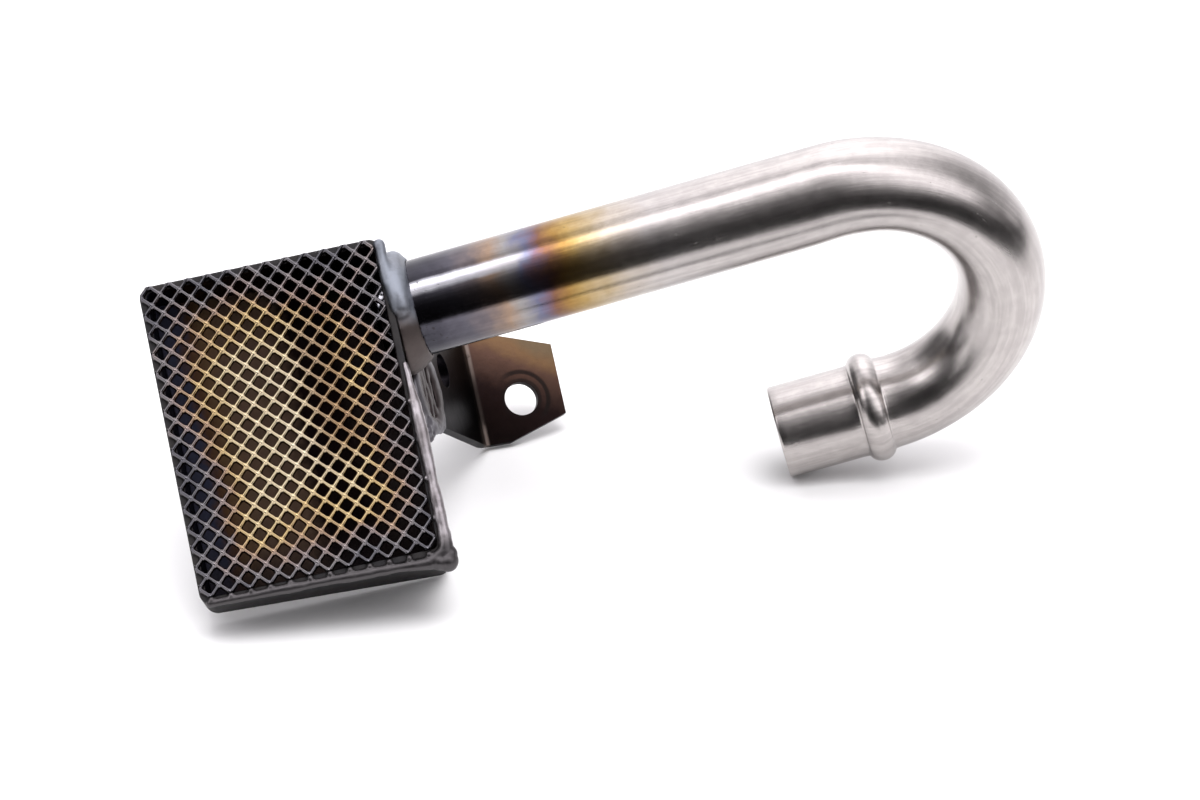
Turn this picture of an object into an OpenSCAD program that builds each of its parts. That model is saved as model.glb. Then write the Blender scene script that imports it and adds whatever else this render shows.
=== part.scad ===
// Welded oil pickup: a screen box, a bent suction tube with a rolled bead, and a mounting strap.
// The pieces are drawn round the screen. X runs across the box towards the tube,
// Y runs up the screen, and Z points out through it. The finished part is then laid down
// on the three places that it rests on, with Z up and its zero where the spigot's full width starts.

/* [Tube] */
// Outside diameter of the suction tube
tube_od = 19.05; // [12:0.05:30]
// Wall of the suction tube
tube_wall = 1.65; // [0.8:0.05:3]
// Straight length from the box wall to the bend
tube_run = 88.4; // [50:0.2:200]
// Radius of the bend at the tube's centre line
bend_radius = 28.575; // [22:0.025:60]
// Length of tube that reaches into the box
tube_reach = 3; // [1.8:0.1:8]
// Angle at which the tube climbs along the screen
tube_climb = 2.2; // [0:0.1:6]
// Angle at which the tube leans towards the screen side
tube_lean = 6.3; // [0:0.1:8]
// Turn of the bend about the tube, from straight down the screen towards the back
bend_turn = 52.5; // [30:0.5:80]

/* [Spigot] */
// Straight length from the bend to the open end
spigot_len = 23.2; // [23:0.1:60]
// Distance from the open end to the middle of the rolled bead
bead_from_end = 19.6; // [8:0.1:19.8]
// Outside diameter of the rolled bead
bead_od = 22.6; // [20:0.1:34]
// Radius of the rounding of the bead's crown
bead_crown = 2.3; // [1:0.1:3]
// Bevel of the open end
end_bevel = 0.4; // [0.1:0.05:0.8]

/* [Screen box] */
// Outside width of the box
box_w = 47.6; // [36:0.1:90]
// Outside height of the box
box_h = 63.5; // [50:0.1:120]
// Depth of the box at its far side
depth_far = 12.4; // [6:0.1:40]
// Depth of the box at the tube's side
depth_near = 26; // [24:0.1:60]
// Thickness of the folded sheet
sheet = 1.5; // [0.8:0.1:3]
// Radius of the box's upright corners
corner_r = 2.5; // [1:0.1:6]
// Height of the tube's centre above the middle of the box
tube_up = 18.6; // [-10:0.1:19]
// Distance of the tube's centre behind the screen's face
tube_in = 12; // [11.5:0.1:30]

/* [Screen] */
// Thickness of the screen
screen_t = 1.2; // [0.6:0.1:3]
// Spacing of the screen's diamonds, from point to point
diamond = 3.87; // [3:0.05:9]
// Width of the screen's strands
strand = 0.9; // [0.4:0.05:1.6]
// Plain edge left round the diamonds
screen_edge = 0.3; // [0.2:0.1:3]

/* [Bracket] */
// Thickness of the strap
strap_t = 2; // [1:0.1:4]
// Width of the strap
strap_w = 23.5; // [15:0.1:40]
// Height of the strap's middle above the middle of the box
strap_up = 10.9; // [-10:0.1:14]
// Length of the leg that is welded to the box, up to the fold
long_leg = 46.6; // [30:0.1:80]
// Length of the leg that is bolted down, from the fold
short_leg = 18.3; // [14:0.1:40]
// Angle between the long leg and the box wall
strap_flare = 15.4; // [12:0.1:25]
// Angle of the fold
strap_fold = 60.7; // [40:0.1:90]
// Inside radius of the fold
fold_r = 2; // [1:0.1:3]
// Width of the short leg at its tip
tip_w = 15.1; // [8:0.1:20]
// Distance from the fold to where the short leg starts to narrow
clip_start = 5.5; // [3:0.1:10]
// Diameter of the bolt holes
bolt_hole = 7.14; // [4:0.02:9]
// Distance from the fold to the short leg's hole
short_hole_out = 9.5; // [7:0.1:14]
// Height of the short leg's hole, from the strap's middle
short_hole_up = -3; // [-6:0.1:6]
// Distance from the fold to the long leg's hole
long_hole_out = 20.9; // [10:0.1:30]
// Height of the long leg's hole, from the strap's middle
long_hole_up = 1.4; // [-6:0.1:6]
// Part of the wall's edge that the strap leaves free
strap_back = 0.3; // [0:0.1:3]

/* [Welds] */
// Leg of the tube's weld on the box wall
tube_weld_out = 3; // [1:0.1:5]
// Leg of the tube's weld along the tube
tube_weld_along = 5.2; // [1:0.1:10]
// Leg of the weld along the screen's edge
rim_weld_leg = 1.1; // [0.6:0.05:3]
// Radius of the strap's weld bead
strap_weld_r = 3; // [1.5:0.1:4]
// Height of the strap's weld bead above the wall
strap_weld_high = 1.7; // [0.8:0.1:2.5]
// Distance from the strap's lower edge to the end of its weld bead
strap_weld_end = 0.5; // [0.2:0.1:5]
// Gap between the strap and the tube's weld
cope_gap = 0.2; // [0.1:0.05:1]

/* [Hidden] */
$fn = 96;
eps = 0.01;
tube_r = tube_od / 2;
bore_r = tube_r - tube_wall;
box_top = -screen_t;
back_slope = (depth_near - depth_far) / box_w;
far_out = 2 * (box_w + box_h + depth_near + tube_run);

function unit(v) = v / norm(v);
function across(v, n) = unit(v - n * (v * n));

// Tube axes, in the box's directions: along the tube, towards the spigot, and square to the bend
tube_x = [cos(tube_climb) * cos(tube_lean), sin(tube_climb) * cos(tube_lean), sin(tube_lean)];
tube_down = across([0, -1, 0], tube_x);
tube_behind = cross(tube_x, tube_down);
tube_y = cos(bend_turn) * tube_down + sin(bend_turn) * tube_behind;
tube_z = cross(tube_x, tube_y);
tube_start = [box_w / 2, tube_up, -tube_in];
spigot_end = tube_start + tube_x * (tube_run - spigot_len) + tube_y * 2 * bend_radius;
spigot_rim = spigot_end + tube_x * end_bevel;

// Strap directions: along each leg, and square to the face that shows
long_dir = [sin(strap_flare), 0, -cos(strap_flare)];
long_face = [cos(strap_flare), 0, sin(strap_flare)];
short_turn = strap_fold - (90 - strap_flare);
short_dir = [cos(short_turn), 0, sin(short_turn)];
short_face = [-sin(short_turn), 0, cos(short_turn)];
strap_seat = [box_w / 2, strap_up, -depth_near + strap_back + strap_t / sin(strap_flare)];
fold_line = strap_seat + long_dir * long_leg;
fold_flat = fold_r * tan(strap_fold / 2);
fold_middle = fold_line - long_dir * fold_flat + long_face * fold_r;
fold_steps = 16;
function fold_arc(r, from, to) = [
    for (i = [0:fold_steps])
        let (a = from + (to - from) * i / fold_steps)
        r * [sin(a), -cos(a)]
];

// Where the part rests: a low corner of the box, the short leg's lower edge and the spigot's rim
function back_z(x) = -depth_near + (box_w / 2 - x) * back_slope;
corner_low = [
    for (a = [-90:7.5:0])
        let (x = box_w / 2 - corner_r + corner_r * cos(a))
        [x, -box_h / 2 + corner_r + corner_r * sin(a), back_z(x)]
];
strap_low = [
    for (out = [fold_flat, clip_start])
        fold_line + short_dir * out - short_face * strap_t - [0, strap_w / 2, 0]
];
function spigot_low(up) = spigot_rim + across(-up, tube_x) * tube_r;
function low_of(points, up, i = 0, best = 0) =
    i == len(points) ? points[best]
    : low_of(points, up, i + 1, points[i] * up < points[best] * up ? i : best);
function plane_up(a, b, c) = unit(cross(c - a, b - a));
function settle(up, times) =
    times == 0 ? up
    : settle(plane_up(low_of(corner_low, up), low_of(strap_low, up), spigot_low(up)), times - 1);
lay_z = settle(unit([0.16, 0.73, 0.66]), 6);
lay_x = across(tube_x, lay_z);
lay_y = cross(lay_z, lay_x);

// Screen pattern: whole diamonds inside, and halves along the edge
window_w = box_w - rim_weld_leg - 2 * screen_edge;
window_h = box_h - rim_weld_leg - 2 * screen_edge;
columns = round(window_w / diamond);
rows = round(window_h / diamond);
step_x = window_w / columns / 2;
step_y = window_h / rows / 2;
strand_cut = 1 - strand / sqrt(2) / min(step_x, step_y);
half_x = step_x * strand_cut;
half_y = step_y * strand_cut;

// Piece to draw

module laid() {
    multmatrix([
        concat(lay_x, -lay_x * spigot_rim),
        concat(lay_y, -lay_y * spigot_rim),
        concat(lay_z, -lay_z * spigot_rim)
    ])
        children();
}

module on_tube() {
    multmatrix([
        for (i = [0:2]) [tube_x[i], tube_y[i], tube_z[i], tube_start[i]]
    ])
        children();
}

module along_tube(from, to, r) {
    translate([from, 0, 0])
        rotate([0, 90, 0])
        cylinder(h = to - from, r = r);
}

module tube_bend(r) {
    translate([tube_run, bend_radius, 0])
        rotate([0, 0, -90])
        rotate_extrude(angle = 180)
        translate([bend_radius, 0])
        circle(r = r);
}

// Half section of the spigot, with its length up the page
module spigot_half(r, crown_r, crown, bevel) {
    polygon([
        [0, 0],
        [r - bevel, 0],
        [r, bevel],
        [r, spigot_len],
        [0, spigot_len]
    ]);
    intersection() {
        translate([crown_r - crown, bead_from_end])
            circle(r = crown);
        square([2 * crown_r, spigot_len]);
    }
}

module on_spigot() {
    translate([tube_run - spigot_len, 2 * bend_radius, 0])
        rotate([0, 90, 0])
        children();
}

module pickup_tube() {
    color("#a9abad")
        on_tube()
        difference() {
            union() {
                along_tube(-tube_reach, tube_run, tube_r);
                tube_bend(tube_r);
                on_spigot()
                    rotate_extrude()
                    spigot_half(tube_r, bead_od / 2, bead_crown, end_bevel);
            }
            along_tube(-tube_reach - 1, tube_run, bore_r);
            tube_bend(bore_r);
            on_spigot()
                rotate_extrude()
                spigot_half(bore_r, bead_od / 2 - tube_wall, bead_crown, 0);
            on_spigot()
                translate([0, 0, -1])
                cylinder(h = 1 + eps, r = bore_r);
        }
}

// Rounded outline of the box, set in by the given amount
module box_plan(inset) {
    r = max(corner_r - inset, 0.2);
    w = box_w / 2 - inset - r;
    h = box_h / 2 - inset - r;
    square([2 * w, 2 * (h + r)], center = true);
    square([2 * (w + r), 2 * h], center = true);
    for (x = [-w, w], y = [-h, h])
        translate([x, y])
            circle(r = r);
}

// Side view of the box, from its far side to the tube's side
module box_side(inset, top) {
    in = inset * sqrt(1 + back_slope * back_slope);
    polygon([
        [-box_w / 2 - 1, top],
        [-box_w / 2 - 1, -depth_far + in + back_slope],
        [box_w / 2 + 1, -depth_near + in - back_slope],
        [box_w / 2 + 1, top]
    ]);
}

module box_solid(inset, top) {
    intersection() {
        translate([0, 0, -depth_near - 5])
            linear_extrude(depth_near + 5 + max(top, 0) + 5)
            box_plan(inset);
        translate([0, box_h / 2 + 1, 0])
            rotate([90, 0, 0])
            linear_extrude(box_h + 2)
            box_side(inset, top);
    }
}

module screen_box() {
    color("#4b4c50")
        difference() {
            box_solid(0, box_top);
            box_solid(sheet, 1);
            on_tube()
                along_tube(-tube_reach - 4, tube_r, tube_r);
        }
}

// One opening of the screen; an edge of the window halves it
module opening(i, j) {
    x = i * step_x;
    y = j * step_y;
    polygon(concat(
        i > -columns ? [[x - half_x, y]] : [],
        j > -rows ? [[x, y - half_y]] : [],
        i < columns ? [[x + half_x, y]] : [],
        j < rows ? [[x, y + half_y]] : []
    ));
}

module mesh_screen() {
    color("#8a744f")
        translate([0, 0, -screen_t])
        linear_extrude(screen_t)
        difference() {
            intersection() {
                box_plan(0);
                translate([-box_w / 2, -box_h / 2 + rim_weld_leg])
                    square([box_w - rim_weld_leg, box_h]);
            }
            translate([-rim_weld_leg, rim_weld_leg] / 2)
                for (i = [-columns:columns], j = [-rows:rows])
                    if ((i + j) % 2 == 0 && (abs(i) < columns || abs(j) < rows))
                        opening(i, j);
        }
}

// Strap in its own directions: X along the long leg, Y towards the face that shows
module on_strap() {
    translate(fold_middle)
        rotate([0, 90 - strap_flare, 0])
        rotate([90, 0, 0])
        children();
}

module strap_section() {
    seat_more = strap_t / tan(strap_flare) + strap_t;
    start = fold_flat - long_leg - seat_more;
    tip = (short_leg - fold_flat) * [cos(strap_fold), sin(strap_fold)];
    polygon(concat(
        [[start, -fold_r], [start, -fold_r - strap_t]],
        fold_arc(fold_r + strap_t, 0, strap_fold),
        [
            tip + fold_arc(fold_r + strap_t, 0, strap_fold)[fold_steps],
            tip + fold_arc(fold_r, 0, strap_fold)[fold_steps]
        ],
        fold_arc(fold_r, strap_fold, 0)
    ));
}

module strap_plate() {
    on_strap()
        translate([0, 0, -strap_w / 2])
        linear_extrude(strap_w)
        strap_section();
}

module strap_hole(turn, out, up) {
    rotate([0, 0, turn])
        translate([out, -fold_r + 1, -up])
        rotate([90, 0, 0])
        cylinder(h = strap_t + 2, d = bolt_hole);
}

// Corner that is clipped off the short leg
module strap_clip(side) {
    slope = (strap_w - tip_w) / 2 / (short_leg - clip_start);
    from = clip_start - 2;
    to = short_leg + 2;
    function edge(out) = [out - fold_flat, side * (strap_w / 2 - slope * (out - clip_start))];
    outer = side * (strap_w + 1);
    rotate([0, 0, strap_fold])
        translate([0, -fold_r + 1, 0])
        rotate([90, 0, 0])
        linear_extrude(strap_t + 2)
        polygon([edge(from), edge(to), [to - fold_flat, outer], [from - fold_flat, outer]]);
}

module mounting_bracket() {
    color("#4a3d33")
        difference() {
            strap_plate();
            on_strap() {
                strap_hole(0, fold_flat - long_hole_out, long_hole_up);
                strap_hole(strap_fold, short_hole_out - fold_flat, short_hole_up);
                for (side = [-1, 1])
                    strap_clip(side);
            }
            box_solid(0, box_top);
            translate([-far_out + box_w / 2, -far_out / 2, -far_out / 2])
                cube([far_out, far_out, far_out]);
            on_tube()
                along_tube(-tube_reach, tube_run / 2, tube_r + tube_weld_out + cope_gap);
        }
}

module tube_weld() {
    color("#7d8088")
        intersection() {
            difference() {
                on_tube()
                    rotate([0, 90, 0])
                    rotate_extrude()
                    polygon(concat(
                        [[tube_r, -corner_r - 1], [tube_r + tube_weld_out, -corner_r - 1]],
                        [
                            for (a = [0:18:90])
                                [
                                    tube_r + tube_weld_out * pow(cos(a), 1.4),
                                    tube_weld_along * pow(sin(a), 1.4)
                                ]
                        ]
                    ));
                box_solid(0, 1);
                translate([-far_out + box_w / 2 - corner_r, -far_out / 2, -far_out / 2])
                    cube([far_out, far_out, far_out]);
            }
            translate([0, box_h / 2 - far_out, box_top - far_out])
                cube([far_out, far_out, far_out]);
        }
}

module bracket_weld() {
    low = strap_up - strap_w / 2 + strap_weld_end;
    cope = tube_r + tube_weld_out + cope_gap;
    color("#8b8780")
        difference() {
            translate([box_w / 2 + strap_weld_high - strap_weld_r, low, strap_seat[2]])
                rotate([-90, 0, 0])
                cylinder(h = strap_w - 2 * strap_weld_end, r = strap_weld_r);
            box_solid(0, box_top);
            translate([-far_out + box_w / 2, -far_out / 2, -far_out / 2])
                cube([far_out, far_out, far_out]);
            strap_plate();
            on_tube()
                along_tube(-tube_reach, tube_run / 2, cope);
        }
}

module rim_run(length) {
    rotate([90, 0, 90])
        linear_extrude(length)
        intersection() {
            circle(r = rim_weld_leg);
            translate([-rim_weld_leg, 0])
                square(rim_weld_leg);
        }
}

module rim_weld() {
    right = box_w / 2 - rim_weld_leg;
    low = -box_h / 2 + rim_weld_leg;
    color("#77797f")
        intersection() {
            translate([0, 0, box_top]) {
                translate([-box_w / 2, low, 0])
                    rim_run(box_w - rim_weld_leg);
                translate([right, low, 0])
                    rotate([0, 0, 90])
                    rim_run(box_h - rim_weld_leg);
                intersection() {
                    translate([right, low, 0])
                        sphere(r = rim_weld_leg);
                    translate([right, low - rim_weld_leg, 0])
                        cube(rim_weld_leg);
                }
            }
            translate([0, 0, box_top])
                linear_extrude(2 * rim_weld_leg)
                box_plan(0);
        }
}

laid() pickup_tube();
laid() screen_box();
laid() mesh_screen();
laid() mounting_bracket();
laid() tube_weld();
laid() bracket_weld();
laid() rim_weld();
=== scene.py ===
"""Looks of a welded steel oil pickup tube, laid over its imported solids."""

import math
from contextlib import contextmanager

import bmesh
import bpy
import numpy as np
from mathutils import Matrix, Vector, noise


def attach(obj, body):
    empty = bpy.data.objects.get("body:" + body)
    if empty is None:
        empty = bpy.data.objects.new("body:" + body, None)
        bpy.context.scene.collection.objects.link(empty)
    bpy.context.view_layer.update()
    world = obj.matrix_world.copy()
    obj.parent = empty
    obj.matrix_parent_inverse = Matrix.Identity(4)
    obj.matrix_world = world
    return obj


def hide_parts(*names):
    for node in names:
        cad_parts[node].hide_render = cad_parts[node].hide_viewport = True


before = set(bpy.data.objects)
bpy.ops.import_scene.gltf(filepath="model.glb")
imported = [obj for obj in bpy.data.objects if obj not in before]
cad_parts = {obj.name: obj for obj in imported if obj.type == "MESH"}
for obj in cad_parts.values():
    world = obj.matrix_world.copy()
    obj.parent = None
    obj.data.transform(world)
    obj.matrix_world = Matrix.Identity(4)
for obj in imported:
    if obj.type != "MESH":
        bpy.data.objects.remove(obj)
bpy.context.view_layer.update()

# Sizes in millimetres, in the directions the part is built in:
# X across the box towards the tube, Y up the screen, Z out through the screen.
MM = 0.001
BOX_W, BOX_H = 47.6, 63.5
DEPTH_FAR, DEPTH_NEAR = 12.4, 26.0
SCREEN_T = 1.2
RIM_WELD = 1.1
SCREEN_EDGE = 0.3
COLUMNS, ROWS = 12, 16
STRAND = 0.9
TUBE_R, BORE_R = 9.525, 7.875
TUBE_RUN, TUBE_REACH = 88.4, 3.0
BEND_R = 28.575
SPIGOT, END_BEVEL = 23.2, 0.4
BEAD_FROM_END, BEAD_R, BEAD_HALF = 19.6, 11.3, 2.35
TUBE_START = np.array([BOX_W / 2, 18.6, -12.0])
TUBE_X = np.array([0.993228, 0.038156, 0.109734])
TUBE_Y = np.array([0.110209, -0.608318, -0.786004])
TUBE_Z = np.cross(TUBE_X, TUBE_Y)
FOLD_X, STRAP_MIDDLE = 36.17, 10.9
ACROSS, UP, OUT = (1, 0, 0), (0, 1, 0), (0, 0, 1)
# In metres, as the part lies: the middle of the bracket's bolt hole, and the floor
BOLT_HOLE = (-0.0519062, 0.0235143, -0.0019984)
FLOOR_Z = -0.0092242

# How the part lies: the floor's directions in the building directions, and the zero point
LAY = np.array(
    [
        [0.986573, -0.154928, -0.0516922],
        [0.0601719, 0.639028, -0.766827],
        [0.151835, 0.75342, 0.639769],
    ]
)
ZERO = TUBE_START + TUBE_X * (TUBE_RUN - SPIGOT + END_BEVEL) + TUBE_Y * 2 * BEND_R


def affine(rotation, shift):
    """4 by 4 matrix from a 3 by 3 one and a shift."""
    made = np.eye(4)
    made[:3, :3], made[:3, 3] = rotation, shift
    return Matrix(made.tolist())


PLACE = affine(LAY * MM, -LAY @ ZERO * MM)
TUBE_PLACE = PLACE @ affine(np.stack([TUBE_X, TUBE_Y, TUBE_Z], 1), TUBE_START)


def row_way(direction):
    """A building direction, as the part lies."""
    return Vector(LAY @ np.asarray(direction, float))


def from_zero(point, direction):
    """Millimetres from the part's zero to a building point, along a building direction."""
    return float((np.asarray(point, float) - ZERO) @ np.asarray(direction, float))


# ---------------------------------------------------------------- node helpers


class Value:
    """One output of a node. Arithmetic on it adds Math nodes."""

    def __init__(self, nodes, socket):
        self.nodes, self.socket = nodes, socket

    def math(self, operation, *others, first=None):
        given = [self, *others] if first is None else [first, self]
        inputs = dict(enumerate(given))
        return self.nodes.add("ShaderNodeMath", {"operation": operation}, inputs)

    def __add__(self, other):
        return self.math("ADD", other)

    __radd__ = __add__

    def __sub__(self, other):
        return self.math("SUBTRACT", other)

    def __rsub__(self, other):
        return self.math("SUBTRACT", first=other)

    def __mul__(self, other):
        return self.math("MULTIPLY", other)

    __rmul__ = __mul__

    def __truediv__(self, other):
        return self.math("DIVIDE", other)

    def __rtruediv__(self, other):
        return self.math("DIVIDE", first=other)


class Nodes:
    """A node tree that is written as expressions."""

    def __init__(self, tree):
        self.tree = tree

    def add(self, kind, settings=None, inputs=None, out=0):
        node = self.tree.nodes.new(kind)
        for key, setting in (settings or {}).items():
            if key == "stops":
                fill_ramp(node.color_ramp, setting)
            else:
                setattr(node, key, setting)
        for key, given in (inputs or {}).items():
            if isinstance(given, Value):
                self.tree.links.new(given.socket, node.inputs[key])
            else:
                node.inputs[key].default_value = given
        return Value(self, node.outputs[out])

    def span(self, value, low, high, from_=0.0, to=1.0):
        """Smooth step of a value from one limit to the other."""
        return self.add(
            "ShaderNodeMapRange",
            {"interpolation_type": "SMOOTHSTEP"},
            {"Value": value, "From Min": low, "From Max": high, "To Min": from_, "To Max": to},
        )

    def ramp(self, value, stops):
        return self.add("ShaderNodeValToRGB", {"stops": stops}, {"Fac": value})

    def mix(self, share, first, second, blend="MIX"):
        return self.add(
            "ShaderNodeMix",
            {"data_type": "RGBA", "blend_type": blend},
            {0: share, 6: first, 7: second},
            out=2,
        )

    def noise(self, vector, scale, detail=2.0, rough=0.5):
        return self.add(
            "ShaderNodeTexNoise",
            None,
            {"Vector": vector, "Scale": scale, "Detail": detail, "Roughness": rough},
        )

    def along(self, vector, direction, start=0.0):
        """Millimetres of a place along a direction, from a start."""
        dot = self.add(
            "ShaderNodeVectorMath",
            {"operation": "DOT_PRODUCT"},
            {0: vector, 1: tuple(direction)},
            out="Value",
        )
        return dot * (1 / MM) - start

    def measure(self, place, way, start=(0.0, 0.0, 0.0)):
        """Millimetres of a place along a building direction, from a building point."""
        return self.along(place, row_way(way), from_zero(start, way))

    def distance(self, place, point):
        """Millimetres from a place to a point, as the part lies."""
        metres = self.add(
            "ShaderNodeVectorMath",
            {"operation": "DISTANCE"},
            {0: place, 1: tuple(point)},
            out="Value",
        )
        return metres * (1 / MM)

    def stretch(self, vector, scale):
        return self.add(
            "ShaderNodeVectorMath", {"operation": "MULTIPLY"}, {0: vector, 1: tuple(scale)}
        )

    def together(self, x, y, z):
        return self.add("ShaderNodeCombineXYZ", None, {0: x, 1: y, 2: z})


def fill_ramp(ramp, stops):
    while len(ramp.elements) > 1:
        ramp.elements.remove(ramp.elements[-1])
    for i, (place, colour) in enumerate(stops):
        element = ramp.elements[0] if i == 0 else ramp.elements.new(place)
        element.position = place
        element.color = (*colour, 1.0)


def geometry_tree(name, sizes):
    """A Geometry Nodes tree with named inputs. Returns it, its nodes and its inputs by name."""
    tree = bpy.data.node_groups.new(name, "GeometryNodeTree")
    tree.interface.new_socket("Geometry", in_out="INPUT", socket_type="NodeSocketGeometry")
    for key, size in sizes.items():
        whole = isinstance(size, int)
        kind = "NodeSocketInt" if whole else "NodeSocketFloat"
        tree.interface.new_socket(key, in_out="INPUT", socket_type=kind).default_value = size
    tree.interface.new_socket("Geometry", in_out="OUTPUT", socket_type="NodeSocketGeometry")
    nodes = Nodes(tree)
    start = tree.nodes.new("NodeGroupInput")
    given = {socket.name: Value(nodes, socket) for socket in start.outputs if socket.name}
    return tree, nodes, given


def close_tree(nodes, geometry, material):
    """Ends a tree in plain geometry with its material."""
    plain = nodes.add("GeometryNodeRealizeInstances", None, {"Geometry": geometry})
    done = nodes.add("GeometryNodeSetMaterial", None, {"Geometry": plain, "Material": material})
    end = nodes.tree.nodes.new("NodeGroupOutput")
    nodes.tree.links.new(done.socket, end.inputs[0])


def attribute(nodes, name):
    return nodes.add("GeometryNodeInputNamedAttribute", {"data_type": "FLOAT"}, {"Name": name})


def settle_mesh(obj):
    """Turns what the object's modifiers give into its plain mesh."""
    graph = bpy.context.evaluated_depsgraph_get()
    mesh = bpy.data.meshes.new_from_object(obj.evaluated_get(graph))
    obj.modifiers.clear()
    old, obj.data = obj.data, mesh
    bpy.data.meshes.remove(old)


def grow(obj, tree, sizes):
    """Runs a tree on an object with these sizes and keeps the result as its mesh."""
    modifier = obj.modifiers.new(tree.name, "NODES")
    modifier.node_group = tree
    for item in tree.interface.items_tree:
        if item.item_type == "SOCKET" and item.in_out == "INPUT" and item.name in sizes:
            modifier[item.identifier] = sizes[item.name]
    settle_mesh(obj)


def link_object(name, data):
    obj = bpy.data.objects.new(name, data)
    bpy.context.scene.collection.objects.link(obj)
    return obj


def new_object(name, points, faces, edges=()):
    mesh = bpy.data.meshes.new(name)
    mesh.from_pydata([tuple(p) for p in points], list(edges), [tuple(f) for f in faces])
    return link_object(name, mesh)


@contextmanager
def mesh_work(obj):
    """Opens an object's mesh for edits and writes it back."""
    work = bmesh.new()
    work.from_mesh(obj.data)
    yield work
    work.to_mesh(obj.data)
    work.free()


def outward(obj):
    """Merges doubles and turns every face outwards."""
    with mesh_work(obj) as work:
        bmesh.ops.remove_doubles(work, verts=work.verts, dist=1e-7)
        bmesh.ops.recalc_face_normals(work, faces=work.faces)


def dress(obj, node, material=None):
    """The finished piece takes the given material, if any, and smooth shading, rides on the
    part and stands for its node, which is hidden.
    """
    if material is not None:
        obj.data.materials.clear()
        obj.data.materials.append(material)
    for polygon in obj.data.polygons:
        polygon.use_smooth = True
    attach(obj, "root")
    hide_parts(node)
    return obj


# ---------------------------------------------------------------- finishes


def steel(name):
    """A new metal. Returns the material, its nodes, the shader and the Object coordinates."""
    material = bpy.data.materials.new(name)
    material.use_nodes = True
    tree = material.node_tree
    shader = tree.nodes["Principled BSDF"]
    shader.inputs["Metallic"].default_value = 1.0
    nodes = Nodes(tree)
    place = nodes.add("ShaderNodeTexCoord", None, None, "Object")
    return material, nodes, shader, place


def finish_steel(nodes, shader, colour, rough, height, strength=0.3, reach=0.0002, edge=1.0):
    """Joins the finish to its shader. A lower edge gives back less light at low angles."""
    link = nodes.tree.links.new
    shader.inputs["Specular Tint"].default_value = (edge, edge, edge, 1.0)
    link(colour.socket, shader.inputs["Base Color"])
    link(rough.socket, shader.inputs["Roughness"])
    bump = nodes.add(
        "ShaderNodeBump",
        None,
        {"Strength": strength, "Distance": reach, "Height": height},
    )
    link(bump.socket, shader.inputs["Normal"])


HEAT_STOPS = [
    (0.00, (0.055, 0.055, 0.064)),
    (0.14, (0.062, 0.060, 0.074)),
    (0.23, (0.105, 0.10, 0.12)),
    (0.30, (0.16, 0.135, 0.14)),
    (0.39, (0.33, 0.23, 0.165)),
    (0.445, (0.29, 0.275, 0.27)),
    (0.495, (0.15, 0.155, 0.235)),
    (0.53, (0.17, 0.11, 0.14)),
    (0.56, (0.20, 0.098, 0.06)),
    (0.615, (0.31, 0.18, 0.055)),
    (0.665, (0.39, 0.265, 0.10)),
    (0.735, (0.435, 0.345, 0.215)),
    (0.82, (0.465, 0.41, 0.35)),
    (0.94, (0.482, 0.452, 0.436)),
]
HEAT_REACH = 56.0
# The side of the tube where the strip light's highlight falls, in shares of the two directions
# across it; near the weld a lighter band is painted there as a painted highlight
TUBE_HIGHLIGHT_SIDE = (0.885, -0.465, 0.0)


def drawn_tube_steel_painted_highlight():
    material, nodes, shader, place = steel("drawn_tube_steel_painted_highlight")
    sweep = nodes.add("ShaderNodeAttribute", {"attribute_name": "sweep"}, None, "Vector")
    from_wall = nodes.measure(place, TUBE_X, TUBE_START)
    cloud = nodes.noise(place, 90.0, 3.0)
    patch = nodes.noise(place, 320.0, 4.0, 0.6)
    warped = from_wall + (cloud - 0.5) * 9.0 + (patch - 0.5) * 4.0
    tint = nodes.ramp(warped / HEAT_REACH, HEAT_STOPS)
    # Painted highlight: a lighter band along the side where the strip light's highlight falls,
    # only near the weld
    highlight_side = nodes.along(sweep, [share * MM / TUBE_R for share in TUBE_HIGHLIGHT_SIDE])
    painted_highlight_band = nodes.span(highlight_side + (patch - 0.5) * 0.01, 0.981, 0.996)
    painted_highlight_share = painted_highlight_band * nodes.span(warped, 30.0, 21.0) * 0.9
    tint_and_painted_highlight = nodes.mix(painted_highlight_share, tint, (0.42, 0.42, 0.45, 1.0))
    streak = nodes.noise(nodes.stretch(sweep, (0.9, 0.9, 0.05)), 1.0, 4.0, 0.65)
    hair = nodes.noise(nodes.stretch(sweep, (5.5, 5.5, 0.16)), 1.0, 4.0, 0.65)
    satin = nodes.noise(place, 2600.0, 3.0, 0.6)
    dull = nodes.mix(1.0, tint_and_painted_highlight, (0.78, 0.775, 0.78, 1.0), "MULTIPLY")
    streaked_tint = nodes.mix(nodes.span(streak * 0.6 + patch * 0.4, 0.38, 0.66), dull, tint_and_painted_highlight)
    near = nodes.span(from_wall, 14.0, 6.0)
    pits = nodes.noise(place, 1500.0, 2.0, 0.5)
    pit = nodes.span(pits + near * 0.09, 0.745, 0.79)
    darkened_colour = nodes.mix(pit * 0.8, streaked_tint, (0.035, 0.03, 0.03, 1.0))
    bare = nodes.span(from_wall, 18.0, 62.0)
    rough = 0.10 + bare * 0.11 + streak * 0.05 + hair * 0.04 + (patch - 0.5) * 0.06
    height = hair * 0.5 + streak * 0.8 + satin * 0.30 * bare - pit * 1.2
    finish_steel(nodes, shader, darkened_colour, rough, height, 0.16, 0.00012)
    return material


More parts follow.
